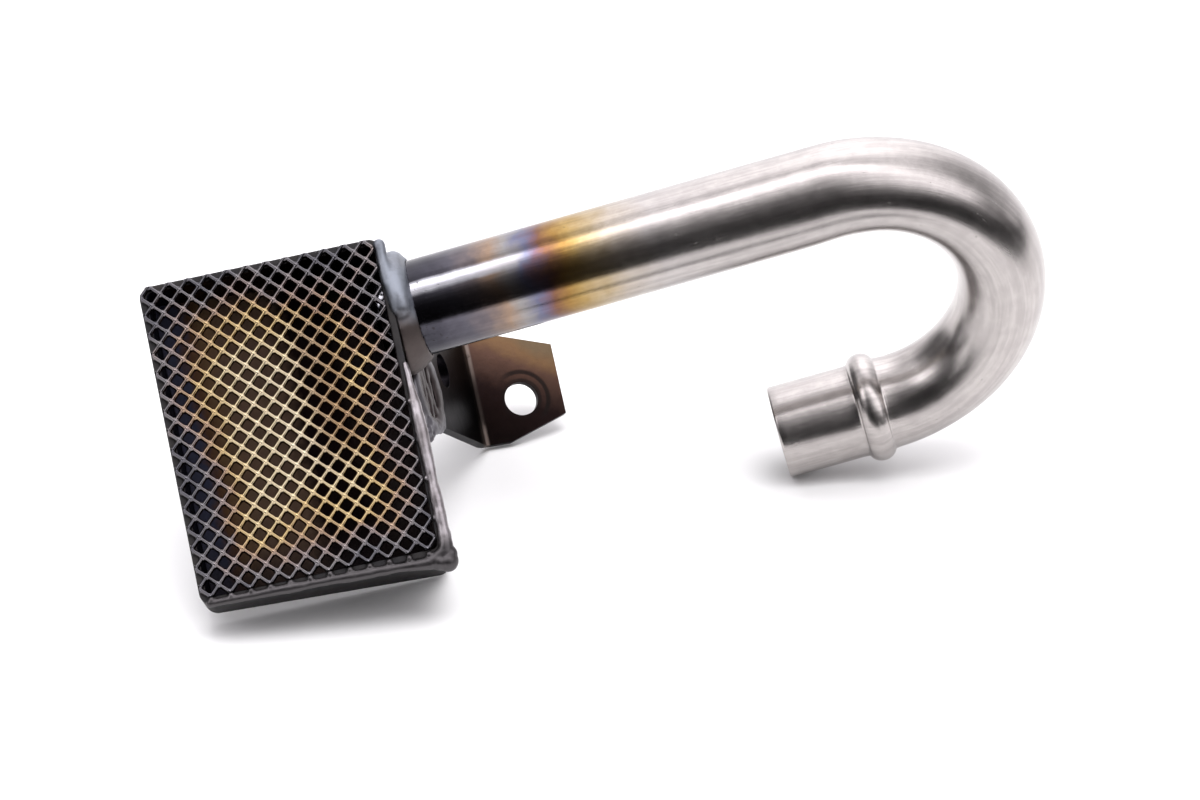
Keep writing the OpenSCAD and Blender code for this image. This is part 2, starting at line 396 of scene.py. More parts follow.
def screen_steel():
    material, nodes, shader, place = steel("tinted_screen_steel_painted_flank_shade")
    across = nodes.measure(place, ACROSS)
    up = nodes.measure(place, UP)
    cloud = nodes.noise(place, 60.0, 3.0)
    patch = nodes.noise(place, 220.0, 3.0)
    side = 1.0 - (across.math("ABSOLUTE") / (BOX_W / 2))
    end = 1.0 - (up.math("ABSOLUTE") / (BOX_H / 2))
    inside = side.math("MINIMUM", end * 1.25)
    warped = inside * 0.95 + (cloud - 0.5) * 0.75 + (patch - 0.5) * 0.35
    colour = nodes.ramp(
        warped,
        [
            (0.00, (0.10, 0.097, 0.108)),
            (0.12, (0.155, 0.145, 0.15)),
            (0.22, (0.22, 0.175, 0.165)),
            (0.31, (0.30, 0.205, 0.135)),
            (0.42, (0.43, 0.315, 0.16)),
            (0.58, (0.48, 0.39, 0.245)),
            (1.00, (0.51, 0.44, 0.325)),
        ],
    )
    aside = (across - 7.5 + (cloud - 0.5) * 6.0).math("ABSOLUTE")
    browned = nodes.span(aside, 6.0, 2.0) * nodes.span(up, -15.0, -3.0)
    browned = browned * nodes.span(up, 27.0, 15.0)
    colour = nodes.mix(browned * 0.65, colour, (0.17, 0.095, 0.06, 1.0))
    # Painted shade: the strands' steep flanks, further behind the screen's face, are darkened
    # nearly to black
    front = nodes.measure(place, OUT)
    painted_flank_shade = nodes.span(front, -0.12, -0.48) * 0.85
    colour = nodes.mix(painted_flank_shade, colour, (0.024, 0.018, 0.014, 1.0))
    rough = 0.09 + patch * 0.09
    height = nodes.noise(place, 900.0, 3.0)
    finish_steel(nodes, shader, colour, rough, height, 0.25, 0.0002)
    return material


def box_outside_steel():
    material, nodes, shader, place = steel("scaled_box_steel_painted_bottom_shade")
    cloud = nodes.noise(place, 120.0, 4.0)
    patch = nodes.noise(place, 500.0, 4.0, 0.6)
    colour = nodes.ramp(
        cloud * 0.7 + patch * 0.3,
        [
            (0.25, (0.028, 0.028, 0.03)),
            (0.45, (0.06, 0.058, 0.062)),
            (0.60, (0.085, 0.076, 0.07)),
            (0.75, (0.13, 0.13, 0.14)),
        ],
    )
    # Painted shade on the bottom wall, which faces the floor: it is darkened nearly to black,
    # made less metallic and rougher; the front lip round the screen, within 0.9 mm of its face,
    # is darkened with it
    low = nodes.measure(place, UP, (0, -BOX_H / 2, 0))
    front = nodes.measure(place, OUT)
    bottom_shade_and_dark_lip = nodes.span(low, 1.2, 0.3).math("MAXIMUM", nodes.span(front, -2.2, -0.9))
    darkened_colour = nodes.mix(bottom_shade_and_dark_lip * 0.85, colour, (0.010, 0.009, 0.010, 1.0))
    rough = 0.30 + patch * 0.25 + bottom_shade_and_dark_lip * 0.35
    nodes.tree.links.new((1.0 - bottom_shade_and_dark_lip * 0.85).socket, shader.inputs["Metallic"])
    finish_steel(nodes, shader, darkened_colour, rough, patch + cloud, 0.3, 0.0003, 0.7)
    return material


def box_inside_steel():
    material, nodes, shader, place = steel("browned_inside_steel_painted_shade")
    across = nodes.measure(place, ACROSS)
    cloud = nodes.noise(place, 70.0, 3.0)
    patch = nodes.noise(place, 420.0, 4.0, 0.6)
    warped = (across + BOX_W / 2) / BOX_W + (cloud - 0.5) * 0.12 + (patch - 0.5) * 0.08
    # Across the inside, as seen through the screen: the plate's own blue-to-brown tint on the
    # left, a near-black band of painted shade from 0.55 to 0.70, and painted light on the right
    # wall, which is lighter again
    colour = nodes.ramp(
        warped,
        [
            (0.02, (0.026, 0.026, 0.037)),
            (0.11, (0.028, 0.030, 0.05)),
            (0.15, (0.062, 0.031, 0.018)),
            (0.20, (0.092, 0.055, 0.03)),
            (0.28, (0.088, 0.056, 0.039)),
            (0.46, (0.080, 0.051, 0.036)),
            (0.55, (0.007, 0.004, 0.004)),
            (0.70, (0.007, 0.004, 0.004)),
            (0.80, (0.035, 0.025, 0.023)),
            (0.92, (0.07, 0.055, 0.055)),
        ],
    )
    up = nodes.measure(place, UP)
    # Darker towards the bottom wall
    darkened_colour = nodes.mix(nodes.span(up, -17.0, -29.0) * 0.85, colour, (0.012, 0.01, 0.011, 1.0))
    rough = 0.42 + patch * 0.2
    finish_steel(nodes, shader, darkened_colour, rough, patch, 0.3, 0.0002)
    return material


def bracket_steel():
    material, nodes, shader, place = steel("bronzed_bracket_painted_highlight_and_shade")
    out = nodes.measure(place, ACROSS, (FOLD_X, 0, 0))
    up = nodes.measure(place, UP, (0, STRAP_MIDDLE, 0))
    cloud = nodes.noise(place, 110.0, 3.0)
    patch = nodes.noise(place, 420.0, 4.0, 0.6)
    tone = up + out.math("MAXIMUM", 0.0) * 0.58 + (cloud - 0.5) * 6.0 + (patch - 0.5) * 3.0
    short_leg = nodes.ramp(
        (tone + 8.0) / 24.0,
        [
            (0.00, (0.006, 0.004, 0.004)),
            (0.42, (0.015, 0.009, 0.009)),
            (0.58, (0.048, 0.028, 0.023)),
            (0.75, (0.080, 0.045, 0.034)),
            (0.88, (0.140, 0.082, 0.044)),
            (1.00, (0.120, 0.085, 0.052)),
        ],
    )
    # Painted shade: the long leg is made nearly black, darkest towards the fold, standing in
    # for the shadowed floor behind that it reflects
    long_leg = nodes.ramp(
        (out + 10.5) / 10.5 + (cloud - 0.5) * 0.3,
        [
            (0.00, (0.040, 0.039, 0.045)),
            (0.35, (0.016, 0.014, 0.017)),
            (0.75, (0.006, 0.005, 0.006)),
        ],
    )
    colour = nodes.mix(nodes.span(out, -0.5, 0.5), long_leg, short_leg)
    # Painted highlight along the fold line: brightest at its top, faint in the middle, a little
    # brighter again at its bottom, and broken up by noise
    fold_highlight_strength = nodes.span(up, 0.0, 10.0) * 0.8 + nodes.span(up, -6.0, -9.0) * 0.4 + 0.08
    painted_fold_highlight = nodes.span(out.math("ABSOLUTE"), 0.9, 0.2) * fold_highlight_strength
    colour = nodes.mix(painted_fold_highlight * nodes.span(patch, 0.25, 0.45), colour, (0.50, 0.40, 0.35, 1.0))
    # Darker round the bolt hole: a ring from 5.2 to 6.6 mm out on its upper right, and the
    # hole's edge within about 4.5 mm
    from_hole = nodes.distance(place, BOLT_HOLE)
    ring_round_hole = nodes.span(from_hole, 6.6, 6.0) * nodes.span(from_hole, 5.2, 5.6)
    hole_edge = nodes.span(from_hole, 4.7, 4.2)
    upper_right = nodes.span(up * 0.6 + out * 0.8 + cloud * 3.0, 6.0, 10.0)
    hole_darkening = (ring_round_hole * upper_right).math("MAXIMUM", hole_edge * (upper_right * 0.6 + 0.3))
    marked = nodes.mix(hole_darkening * 0.8, colour, (0.010, 0.009, 0.009, 1.0))
    rough = 0.24 + patch * 0.14 + hole_darkening * 0.12
    finish_steel(nodes, shader, marked, rough, patch + cloud * 0.5, 0.2, 0.0002, 0.62)
    return material


def weld_steel(name, light, dark, rough_base, dark_zone_tone, dark_zone_below=-99.0, dark_zone_at=None):
    """Weld metal, with a darker tone below a height up the screen or round a building point."""
    material, nodes, shader, place = steel(name)
    up = nodes.measure(place, UP, (0, dark_zone_below, 0))
    cloud = nodes.noise(place, 180.0, 3.0)
    patch = nodes.noise(place, 900.0, 4.0, 0.6)
    stain = nodes.span(cloud * 0.6 + patch * 0.4, 0.36, 0.60)
    clean = nodes.mix(stain, (*dark, 1.0), (*light, 1.0))
    dark_zone = nodes.span(up + cloud * 3.0, 3.5, -1.0)
    if dark_zone_at is not None:
        near = nodes.distance(place, PLACE @ Vector(dark_zone_at))
        dark_zone = nodes.span(near + (cloud - 0.5) * 4.0, 9.0, 5.0)
    colour = nodes.mix(dark_zone, clean, (*dark_zone_tone, 1.0))
    rough = rough_base + patch * 0.2
    finish_steel(nodes, shader, colour, rough, patch, 0.2, 0.0002)
    return material


# ---------------------------------------------------------------- bent tube


def tube_outline():
    """Closed outline of the tube's wall: distance from the box wall, and radius."""
    bend_end = TUBE_RUN + math.pi * BEND_R
    tip = bend_end + SPIGOT
    bead = tip - BEAD_FROM_END
    outer = list(np.linspace(-TUBE_REACH, TUBE_RUN - 8, 42))
    outer += list(np.linspace(TUBE_RUN - 6, bend_end - 2, 84))
    outer = [(s, TUBE_R) for s in outer if s < bead - BEAD_HALF - 1.6]
    for t in np.linspace(-1.0, 1.0, 29):
        outer.append((bead + t * (BEAD_HALF + 1.2), TUBE_R + bead_rise(t)))
    plain_end = np.linspace(bead + BEAD_HALF + 2.0, tip - END_BEVEL - 0.15, 12)
    outer += [(s, TUBE_R) for s in plain_end]
    rim = [
        (tip - END_BEVEL, TUBE_R - 0.03),
        (tip - 0.2, TUBE_R - 0.14),
        (tip - 0.05, TUBE_R - 0.32),
        (tip, TUBE_R - 0.5),
        (tip, BORE_R + 0.35),
        (tip - 0.12, BORE_R + 0.1),
        (tip - 0.4, BORE_R),
    ]
    inner = [(s, BORE_R) for s in np.linspace(tip - 2, -TUBE_REACH + 0.4, 110)]
    start = [(-TUBE_REACH, BORE_R + 0.3), (-TUBE_REACH, TUBE_R - 0.3)]
    return outer + rim + inner + start


def bead_rise(t):
    """Height of the rolled bead over the tube, from one foot at -1 to the other at 1."""
    crown = max(0.0, 1.0 - (t * 1.32) ** 2) ** 0.62
    foot = 0.10 * math.exp(-(((abs(t) - 0.80) / 0.14) ** 2))
    return (BEAD_R - TUBE_R) * crown + foot


def tube_tree(material):
    sizes = {
        "Straight run": TUBE_RUN,
        "Bend radius": BEND_R,
        "Flattening": 0.072,
        "Widening": 0.018,
        "Kink": 0.35,
        "Unevenness": 0.05,
    }
    tree, n, given = geometry_tree("tube_sweep", sizes)
    s, ring, turn = (attribute(n, key) for key in ("along", "ring", "turn"))
    run, radius = given["Straight run"], given["Bend radius"]
    arc = radius * math.pi
    past = s - run
    angle = (past / radius).math("MAXIMUM", 0.0).math("MINIMUM", math.pi)
    straight = s.math("MINIMUM", run)
    spigot = (past - arc).math("MAXIMUM", 0.0)
    bent = n.span(past, -3.0, 13.0) * n.span(past - arc, 4.0, -12.0)
    outwards, sideways = turn.math("COSINE"), turn.math("SINE")
    inner = (outwards * -1.0).math("MAXIMUM", 0.0)
    kink_at = (past + 1.0) / 4.5
    kink = (kink_at * kink_at * -1.0).math("EXPONENT") * inner * inner * given["Kink"]
    sweep = n.together(outwards * TUBE_R, sideways * TUBE_R, s)
    waves = n.noise(sweep, 0.09, 2.0) - 0.5
    uneven = waves * given["Unevenness"] * n.span(s, 70.0, 100.0)
    body = ring - kink + uneven
    wide = body * (1.0 - bent * given["Flattening"]) * outwards
    deep = body * (1.0 + bent * given["Widening"]) * sideways
    sine, cosine = angle.math("SINE"), angle.math("COSINE")
    x = straight + radius * sine - spigot + wide * sine
    y = radius * (1.0 - cosine) - wide * cosine
    moved = n.add(
        "GeometryNodeSetPosition",
        None,
        {"Geometry": given["Geometry"], "Position": n.together(x, y, deep)},
    )
    kept = n.add(
        "GeometryNodeStoreNamedAttribute",
        {"data_type": "FLOAT_VECTOR", "domain": "POINT"},
        {"Geometry": moved, "Name": "sweep", "Value": sweep},
    )
    close_tree(n, kept, material)
    return tree, sizes


def make_tube(material):
    outline = tube_outline()
    around = 112
    points, along, ring, turn = [], [], [], []
    for s, r in outline:
        for k in range(around):
            points.append((s, r, k))
            along.append(s)
            ring.append(r)
            turn.append(2 * math.pi * k / around)
    faces = []
    for i in range(len(outline)):
        j = (i + 1) % len(outline)
        for k in range(around):
            m = (k + 1) % around
            faces.append((i * around + k, j * around + k, j * around + m, i * around + m))
    obj = new_object("bent_tube", points, faces)
    for name, values in (("along", along), ("ring", ring), ("turn", turn)):
        layer = obj.data.attributes.new(name, "FLOAT", "POINT")
        layer.data.foreach_set("value", values)
    grow(obj, *tube_tree(material))
    obj.data.transform(TUBE_PLACE)
    outward(obj)
    return dress(obj, "pickup_tube")


# ---------------------------------------------------------------- diamond screen

WINDOW_W = BOX_W - RIM_WELD - 2 * SCREEN_EDGE
WINDOW_H = BOX_H - RIM_WELD - 2 * SCREEN_EDGE
STEP_X, STEP_Y = WINDOW_W / COLUMNS / 2, WINDOW_H / ROWS / 2
SCREEN_MIDDLE = (-RIM_WELD / 2, RIM_WELD / 2)
SCREEN_MERGE = 0.004


def screen_tile():
    """One diamond of the screen, out to the middle of the strands round it."""
    open_share = 1 - STRAND / math.sqrt(2) / min(STEP_X, STEP_Y)
    # share of the way to the opening, and depth on its lower and on its upper side
    rings = [(0.0, 0.0, 0.0), (0.10, -0.012, -0.05), (0.64, -0.09, -0.30), (1.0, -0.50, -0.66)]
    rings.append((0.0, -SCREEN_T, -SCREEN_T))
    # share of the way along a side, and how far the opening reaches there
    steps = [(0.0, 0.86), (0.15, 0.99), (0.85, 0.99)]
    corners = [np.array(p) for p in ((1.0, 0.0), (0.0, 1.0), (-1.0, 0.0), (0.0, -1.0))]
    outer, hole = [], []
    for k in range(4):
        start, end = corners[k], corners[(k + 1) % 4]
        for t, pull in steps:
            outer.append(start + (end - start) * t)
            hole.append(outer[-1] * open_share * pull)
    points, faces = [], []
    for share, lower, upper in rings:
        for rim, edge in zip(outer, hole):
            x, y = rim + (edge - rim) * share
            steep = min(1.0, max(0.0, 0.5 + rim[1] * 4.0))
            points.append((x * STEP_X, y * STEP_Y, lower + (upper - lower) * steep))
    count = len(outer)
    for i in range(0, count * (len(rings) - 1), count):
        for k in range(count):
            m = (k + 1) % count
            faces.append((i + k, i + m, i + count + m, i + count + k))
    return new_object("diamond_screen", points, faces)


def screen_tree(material):
    sizes = {
        "Columns": COLUMNS,
        "Rows": ROWS,
        "Window width": WINDOW_W,
        "Window height": WINDOW_H,
        "Unevenness": 0.16,
    }
    tree, n, given = geometry_tree("diamond_screen", sizes)
    grid = n.add(
        "GeometryNodeMeshGrid",
        None,
        {
            "Size X": given["Window width"],
            "Size Y": given["Window height"],
            "Vertices X": given["Columns"] * 2.0 + 1.0,
            "Vertices Y": given["Rows"] * 2.0 + 1.0,
        },
    )
    index = n.add("GeometryNodeInputIndex")
    even = 1.0 - index.math("MODULO", 2.0)
    tiles = n.add(
        "GeometryNodeInstanceOnPoints",
        None,
        {"Points": grid, "Selection": even, "Instance": given["Geometry"]},
    )
    flat = n.add("GeometryNodeRealizeInstances", None, {"Geometry": tiles})
    place = n.add("GeometryNodeInputPosition")
    half_w, half_h = given["Window width"] * 0.5, given["Window height"] * 0.5
    x, y, z = (n.add("ShaderNodeSeparateXYZ", None, {0: place}, out=k) for k in range(3))
    x = x.math("MINIMUM", half_w).math("MAXIMUM", half_w * -1.0)
    y = y.math("MINIMUM", half_h).math("MAXIMUM", half_h * -1.0)
    clipped = n.add(
        "GeometryNodeSetPosition", None, {"Geometry": flat, "Position": n.together(x, y, z)}
    )
    x, y = (n.add("ShaderNodeSeparateXYZ", None, {0: place}, out=k) for k in range(2))
    past = (x.math("ABSOLUTE") - half_w).math("MAXIMUM", y.math("ABSOLUTE") - half_h)
    kept = n.add(
        "GeometryNodeDeleteGeometry",
        {"domain": "FACE"},
        {"Geometry": clipped, "Selection": past.math("GREATER_THAN", -0.0005)},
    )
    joined = n.add(
        "GeometryNodeMergeByDistance", None, {"Geometry": kept, "Distance": SCREEN_MERGE}
    )
    wander = n.add(
        "ShaderNodeTexNoise",
        None,
        {"Vector": place, "Scale": 0.35, "Detail": 2.0},
        out="Color",
    )
    centred = n.add(
        "ShaderNodeVectorMath", {"operation": "SUBTRACT"}, {0: wander, 1: (0.5, 0.5, 0.5)}
    )
    shift = n.add(
        "ShaderNodeVectorMath",
        {"operation": "SCALE"},
        {0: centred, "Scale": given["Unevenness"]},
    )
    loose = n.add("GeometryNodeSetPosition", None, {"Geometry": joined, "Offset": shift})
    close_tree(n, loose, material)
    return tree, sizes


def make_screen(material):
    obj = screen_tile()
    grow(obj, *screen_tree(material))
    obj.data.transform(Matrix.Translation((*SCREEN_MIDDLE, 0.0)))
    with mesh_work(obj) as work:
        bmesh.ops.remove_doubles(work, verts=work.verts, dist=SCREEN_MERGE)
        sheared = [edge for edge in work.edges if edge.is_boundary]
        bmesh.ops.holes_fill(work, edges=sheared, sides=0)
    obj.data.transform(PLACE)
    outward(obj)
    even_normals(obj)
    return dress(obj, "mesh_screen", material)


# ---------------------------------------------------------------- box and bracket


def cad_copy(node, name):
    """A merged copy of a solid's mesh, with flat faces joined up."""
    work = bmesh.new()
    work.from_mesh(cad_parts[node].data)
    bmesh.ops.remove_doubles(work, verts=work.verts, dist=1e-6)
    bmesh.ops.dissolve_limit(
        work, angle_limit=math.radians(1.0), verts=work.verts, edges=work.edges
    )
    mesh = bpy.data.meshes.new(name)
    work.to_mesh(mesh)
    work.free()
    return link_object(name, mesh)


def round_edges(obj, width, segments=3):
    bevel = obj.modifiers.new("edges", "BEVEL")
    bevel.width, bevel.segments = width, segments
    bevel.limit_method, bevel.angle_limit = "ANGLE", math.radians(35)
    bevel.use_clamp_overlap = True
    even_normals(obj)


def even_normals(obj):
    """Lets the large faces set the shading, so that they look flat up to their edges."""
    normals = obj.modifiers.new("normals", "WEIGHTED_NORMAL")
    normals.mode, normals.weight = "FACE_AREA", 100
    for polygon in obj.data.polygons:
        polygon.use_smooth = True
    settle_mesh(obj)


def make_box(outside, inside):
    obj = cad_copy("screen_box", "pressed_box")
    round_edges(obj, 0.00035)
    obj.data.materials.clear()
    obj.data.materials.append(outside)
    obj.data.materials.append(inside)
    back = PLACE.inverted()
    skin = 1.2
    for polygon in obj.data.polygons:
        x, y, z = back @ polygon.center
        depth = -DEPTH_NEAR + (BOX_W / 2 - x) * (DEPTH_NEAR - DEPTH_FAR) / BOX_W
        within = abs(x) < BOX_W / 2 - skin and abs(y) < BOX_H / 2 - skin and z > depth + skin
        polygon.material_index = 1 if within and z < -SCREEN_T - 0.05 else 0
    return dress(obj, "screen_box")


def make_bracket(material):
    obj = cad_copy("mounting_bracket", "folded_bracket")
    round_edges(obj, 0.00025)
    return dress(obj, "mounting_bracket", material)


# ---------------------------------------------------------------- welds


def bead_tree(name, spacing, drop, grain, seed, material):
    """Drops of weld metal close together along a path, that swell and shrink along it."""
    sizes = {
        "Spacing": spacing,
        "Drop length": drop[0],
        "Drop width": drop[1],
        "Drop height": drop[2],
        "Grain": grain,
        "Seed": float(seed),
    }
    tree, n, given = geometry_tree(name, sizes)
    curve = n.add("GeometryNodeMeshToCurve", None, {0: given["Geometry"]})
    stops = n.add(
        "GeometryNodeResampleCurve",
        {"mode": "LENGTH"},
        {"Curve": curve, "Length": given["Spacing"]},
    )
    ball = n.add("GeometryNodeMeshUVSphere", None, {"Radius": 1.0, "Segments": 8, "Rings": 6})
    seed_way = n.together(*([given["Seed"]] * 3))
    place = n.add("GeometryNodeInputPosition")
    seeded = n.add("ShaderNodeVectorMath", {"operation": "ADD"}, {0: place, 1: seed_way})
    share = (n.noise(seeded, given["Grain"], 2.0) * 0.9 + 0.55) * attribute(n, "wide")
    drops = n.add(
        "GeometryNodeInstanceOnPoints",
        None,
        {
            "Points": stops,
            "Instance": ball,
            "Scale": n.together(
                *(share * given["Drop " + way] for way in ("length", "width", "height"))
            ),
        },
    )
    close_tree(n, drops, material)
    return tree, sizes


def bead_path(name, points, widths):
    obj = new_object(name, points, [], [(i, i + 1) for i in range(len(points) - 1)])
    layer = obj.data.attributes.new("wide", "FLOAT", "POINT")
    layer.data.foreach_set("value", list(widths))
    return obj


def fuse(obj, voxel, smooth, rough=0.0, grain=1.0, seed=0):
    """Melts a piece in building millimetres into one skin, then makes the skin uneven."""
    remesh = obj.modifiers.new("melt", "REMESH")
    remesh.mode, remesh.voxel_size = "VOXEL", voxel
    settle_mesh(obj)
    soft = obj.modifiers.new("soften", "SMOOTH")
    soft.factor, soft.iterations = 0.5, smooth
    settle_mesh(obj)
    if rough:
        shift = Vector((13.1 * seed, 7.7 * seed, 3.3 * seed))
        normals = [v.normal.copy() for v in obj.data.vertices]
        for vertex, normal in zip(obj.data.vertices, normals):
            vertex.co += normal * noise.noise(vertex.co * grain + shift) * rough


def add_drops(obj, drops):
    """Adds single drops of metal: building points and radii."""
    with mesh_work(obj) as work:
        for point, size in drops:
            bmesh.ops.create_icosphere(
                work, subdivisions=3, radius=size, matrix=Matrix.Translation(Vector(point))
            )


def join_meshes(obj, others):
    """Adds other pieces' meshes to a piece and removes those pieces."""
    with mesh_work(obj) as work:
        for other in others:
            work.from_mesh(other.data)
    for other in others:
        bpy.data.objects.remove(other)


def make_tube_weld(material):
    obj = cad_copy("tube_weld", "tube_weld_bead")
    obj.data.transform(PLACE.inverted())
    turns = np.radians(np.linspace(96, 226, 40))
    ring_middle, ring_radius = TUBE_START + TUBE_X * 2.4, 10.2
    ways = [TUBE_Y * math.cos(a) + TUBE_Z * math.sin(a) for a in turns]
    bead = [ring_middle + way * ring_radius for way in ways]
    swell = np.interp(np.degrees(turns), [96, 130, 205, 226], [0.8, 0.95, 1.08, 1.0])
    nose = bead_path("weld_nose", bead, swell)
    grow(nose, *bead_tree("tube_bead", 0.6, (2.3, 2.3, 2.3), 0.06, 3, material))
    top, foot = 30.2, 17.6
    heights = np.linspace(top, foot, 20)
    over_rim = [(BOX_W / 2 - 0.3 + 0.03 * (top - y), y, -1.5) for y in heights]
    swell = np.interp(heights, [foot, 22, top], [0.6, 1.0, 0.95])
    cover = bead_path("weld_over_rim", over_rim, swell)
    grow(cover, *bead_tree("rim_cover", 0.5, (1.5, 1.5, 1.5), 0.2, 8, material))
    join_meshes(obj, [nose, cover])
    fuse(obj, 0.32, 20, 0.11, 0.30, 3)
    obj.data.transform(PLACE)
    return dress(obj, "tube_weld", material)


# The bracket's long leg: along it, up it and out of its face
LEG_WAY, LEG_FACE = np.array([0.265556, 0.0, -0.964095]), np.array([0.964095, 0.0, 0.265556])
LEG_PLACE = affine(np.stack([LEG_WAY, [0, 1, 0], LEG_FACE], 1), (25.7282, 0.0, -17.6376))


def make_bracket_weld(material):
    obj = cad_copy("bracket_weld", "bracket_weld_bead")
    obj.data.transform((PLACE @ LEG_PLACE).inverted())
    turns = np.radians(np.linspace(0, 360, 73))
    ring = [(4.6 + 6.2 * math.cos(a), 4.2 + 7.4 * math.sin(a), -0.25) for a in turns]
    rim = bead_path("weld_ring", ring, [1.0] * len(ring))
    grow(rim, *bead_tree("bracket_ring", 0.4, (2.3, 1.5, 0.85), 0.25, 5, material))
    runs = []
    for k, across in enumerate((1.6, 4.2, 6.8)):
        heights = np.linspace(-1.2, 9.6, 14)
        line = [(across + 0.5 * math.sin(y * 0.4 + k), y, -0.35) for y in heights]
        run = bead_path("weld_run_%d" % k, line, [1.0] * len(line))
        grow(run, *bead_tree("bracket_run_%d" % k, 0.4, (1.1, 0.8, 0.5), 0.4, 7 + k, material))
        runs.append(run)
    heights = np.linspace(-3.0, 11.0, 18)
    foot = bead_path("weld_foot", [(-1.6, y, -1.5) for y in heights], [1.0] * len(heights))
    grow(foot, *bead_tree("bracket_foot", 0.5, (2.2, 1.6, 1.7), 0.15, 4, material))
    join_meshes(obj, [rim, foot, *runs])
    drops = [((0.2, -2.6, -0.8), 1.6), ((3.4, -3.0, -0.9), 1.5), ((6.4, -2.2, -0.9), 1.2)]
    drops += [((-0.6, -4.4, -0.9), 1.5), ((0.6, -5.6, -0.9), 1.15), ((2.6, -4.6, -0.9), 1.1)]
    add_drops(obj, drops)
    fuse(obj, 0.22, 14, 0.07, 0.6, 5)
    obj.data.transform(PLACE @ LEG_PLACE)
    return dress(obj, "bracket_weld", material)


def make_rim_weld(material):
    right, low = BOX_W / 2 + 0.25, -BOX_H / 2
    # along the lower edge, round the corner and up the right edge
    path = [(-BOX_W / 2 + 1.8, low + 0.2, -0.75), (0.0, low - 0.35, -0.80)]
    path += [(14.0, low - 0.8, -0.90), (right - 3.6, low - 1.2, -1.10)]
    path += [(right - 0.4, low + 0.4, -1.10), (right, low + 3.0, -0.90), (right, -20.0, -0.85)]
    path += [(right - 0.1, -4.0, -0.85), (right - 0.4, 6.0, -1.30)]
    widths = [0.9, 1.15, 1.35, 1.55, 1.7, 1.5, 1.4, 1.35, 0.7]
    obj = bead_path("rim_weld_bead", path, widths)
    grow(obj, *bead_tree("rim_bead", 0.3, (0.9, 0.9, 0.85), 0.12, 11, material))
    # drops on the ends of the strands
    ends = []
    for i in range(-11, 12, 2):
        x = SCREEN_MIDDLE[0] + STEP_X * i
        ends.append(((x, low + 0.75 - max(0.0, x) * 0.02, -0.60), 0.72))
    for j in range(-13, 3, 4):
        ends.append(((right - 1.2, SCREEN_MIDDLE[1] + STEP_Y * j, -0.62), 0.40))
    corner = [((right - 0.3, low - 1.5, -1.6), 2.05), ((right + 0.2, low - 0.1, -1.6), 1.6)]
    corner += [((right - 2.0, low - 1.3, -1.3), 1.7), ((right - 0.2, low - 0.3, -3.8), 1.7)]
    add_drops(obj, ends + corner)
    fuse(obj, 0.18, 8, 0.09, 0.5, 9)
    obj.data.transform(PLACE)
    return dress(obj, "rim_weld", material)


# ---------------------------------------------------------------- light, floor, camera


def paint_stage(obj, name, tone, rough, shine):
    """Gives a piece of the stage one plain grey."""
    material = bpy.data.materials.new(name)
    material.use_nodes = True
    shader = material.node_tree.nodes["Principled BSDF"]
    shader.inputs["Base Color"].default_value = (tone, tone, tone, 1.0)
    shader.inputs["Roughness"].default_value = rough
    shader.inputs["Specular IOR Level"].default_value = shine
    obj.data.materials.append(material)


def make_floor():
    side, z = 4.0, FLOOR_Z - 0.00002
    corners = [(-side, -side, z), (side, -side, z), (side, side, z), (-side, side, z)]
    floor = new_object("floor", corners, [(0, 1, 2, 3)])
    paint_stage(floor, "pale_floor", 0.78, 0.7, 0.2)


def make_floor_light():
    """A soft light from above and in front, for the floor and its shadows."""
    data = bpy.data.lights.new("floor_light", "AREA")
    data.shape, data.size, data.energy = "SQUARE", 0.7, 6.0
    obj = link_object("floor_light", data)
    obj.location = (0.02, -0.20, 0.92)
    aim = Vector((-0.04, -0.03, 0.0)) - obj.location
    obj.rotation_mode = "QUATERNION"
    obj.rotation_quaternion = aim.to_track_quat("-Z", "Y")
    obj.visible_glossy = False


def make_dark_card():
    """A dark card that lies in front of the part, out of view, and only shows in the metal.
    A low strip of it stands up before the tube's plain end."""
    z = FLOOR_Z + 0.0004
    edge = [(-3.8, -1.2), (-0.30, -0.22), (-0.05, -0.165), (0.0, -0.142), (0.05, -0.118)]
    edge += [(0.08, -0.095), (0.14, -0.066), (0.25, -0.02), (0.6, 0.2), (3.8, 2.2)]
    edge += [(3.8, -3.8), (-3.8, -3.8)]
    points = [(x, y, z) for x, y in edge]
    strip = [(-0.045, 0.0), (0.040, 0.0), (0.040, 0.020), (0.006, 0.019), (-0.045, 0.005)]
    points += [(x, -0.062, z + height) for x, height in strip]
    faces = [tuple(range(len(edge))), tuple(range(len(edge), len(points)))]
    card = new_object("dark_card", points, faces)
    paint_stage(card, "dark_card", 0.012, 0.9, 0.0)
    card.visible_camera = card.visible_diffuse = card.visible_shadow = False


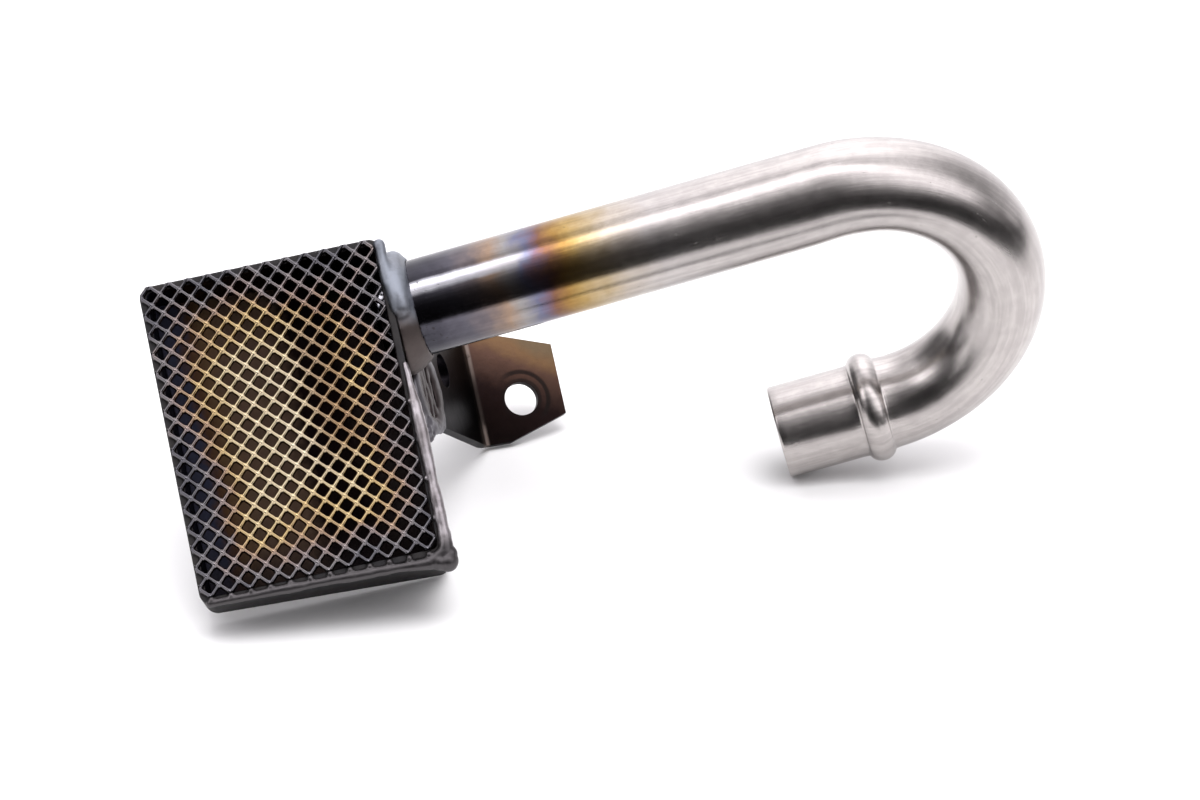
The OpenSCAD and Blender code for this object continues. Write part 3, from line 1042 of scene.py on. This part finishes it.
# Brightness of the room from the floor in front of the part, over it, to the floor behind:
# straight over the part, towards its bend and towards its box
ROOM_STOPS = [
    (0.00, 0.012),
    (0.14, 0.024),
    (0.21, 0.15),
    (0.28, 0.72),
    (0.345, 1.55),
    (0.395, 4.50),
    (0.435, 4.50),
    (0.475, 1.15),
    (0.52, 1.00),
    (0.56, 1.80),
    (0.60, 2.55),
    (0.71, 2.85),
    (0.85, 2.30),
    (1.00, 1.50),
]
BEND_STOPS = [
    (0.00, 0.05),
    (0.09, 0.20),
    (0.155, 0.60),
    (0.245, 2.00),
    (0.417, 2.60),
    (0.50, 1.60),
    (0.554, 1.10),
    (0.664, 0.55),
    (0.75, 0.45),
    (0.834, 0.60),
    (1.00, 1.20),
]
BOX_STOPS = [
    (0.00, 0.05),
    (0.11, 0.30),
    (0.17, 0.90),
    (0.235, 3.20),
    (0.315, 4.20),
    (0.40, 2.40),
    (0.46, 1.30),
    (0.54, 1.00),
    (0.645, 1.20),
    (0.80, 1.40),
    (1.00, 1.40),
]
ROOM_PEAK = 4.5
ROOM_TONE = (0.99, 0.97, 1.0)
ROOM_TURN = math.radians(17.3)


def room_ramp(nodes, over, stops):
    """One of the room's gradients, as a share of its peak."""
    shares = [(at, [light / ROOM_PEAK * k for k in ROOM_TONE]) for at, light in stops]
    return nodes.ramp(over, shares)


def make_room():
    world = bpy.data.worlds.new("studio")
    world.use_nodes = True
    bpy.context.scene.world = world
    nodes = Nodes(world.node_tree)
    way = nodes.add("ShaderNodeTexCoord", None, None, "Generated")
    x, y, z = (nodes.add("ShaderNodeSeparateXYZ", None, {0: way}, out=k) for k in range(3))
    bendwards = x * math.cos(ROOM_TURN) - y * math.sin(ROOM_TURN)
    forwards = x * -math.sin(ROOM_TURN) - y * math.cos(ROOM_TURN)
    over = z.math("MAXIMUM", 0.0).math("ARCTAN2", forwards) / math.pi
    middle, bend, box = (
        room_ramp(nodes, over, stops) for stops in (ROOM_STOPS, BEND_STOPS, BOX_STOPS)
    )
    room = nodes.mix(nodes.span(bendwards, -0.05, 0.75), middle, bend)
    room = nodes.mix(nodes.span(bendwards, -0.28, -0.55), room, box)
    room = nodes.mix(nodes.span(bendwards, -0.66, -0.90), room, (0.036, 0.035, 0.036, 1.0))
    room = nodes.mix(nodes.span(bendwards, 0.93, 0.985), room, (0.07, 0.068, 0.07, 1.0))
    background = world.node_tree.nodes["Background"]
    world.node_tree.links.new(room.socket, background.inputs["Color"])
    background.inputs["Strength"].default_value = ROOM_PEAK


def make_camera():
    """The photo's camera, fitted to corners and edges of the part."""
    data = bpy.data.cameras.new("camera")
    data.lens, data.sensor_width = 113.34, 36.0
    data.clip_start, data.clip_end = 0.05, 20.0
    camera = link_object("camera", data)
    right = Vector((0.996901, -0.076915, -0.016563))
    up = Vector((0.050761, 0.467929, 0.882307))
    back = right.cross(up)
    turn = Matrix((right, up, back)).transposed()
    camera.matrix_world = Matrix.Translation((-0.082868, -0.674402, 0.369839)) @ turn.to_4x4()
    bpy.context.scene.camera = camera


make_tube(drawn_tube_steel_painted_highlight())
make_screen(screen_steel())
make_box(box_outside_steel(), box_inside_steel())
make_bracket(bracket_steel())
make_tube_weld(
    weld_steel(
        "tube_weld_steel",
        (0.26, 0.28, 0.32),
        (0.19, 0.20, 0.225),
        0.40,
        (0.095, 0.078, 0.074),
        dark_zone_below=15.5,
    )
)
make_bracket_weld(
    weld_steel(
        "bracket_weld_steel",
        (0.14, 0.135, 0.15),
        (0.08, 0.075, 0.08),
        0.30,
        (0.042, 0.034, 0.034),
        dark_zone_at=(27.0, 4.0, -22.0),
    )
)
make_rim_weld(
    weld_steel(
        "rim_weld_steel",
        (0.38, 0.355, 0.37),
        (0.22, 0.20, 0.205),
        0.30,
        (0.075, 0.07, 0.072),
        dark_zone_below=-29.0,
    )
)
make_floor()
make_floor_light()
make_dark_card()
make_room()
make_camera()
bpy.context.scene.view_settings.view_transform = "Standard"

bpy.context.view_layer.update()
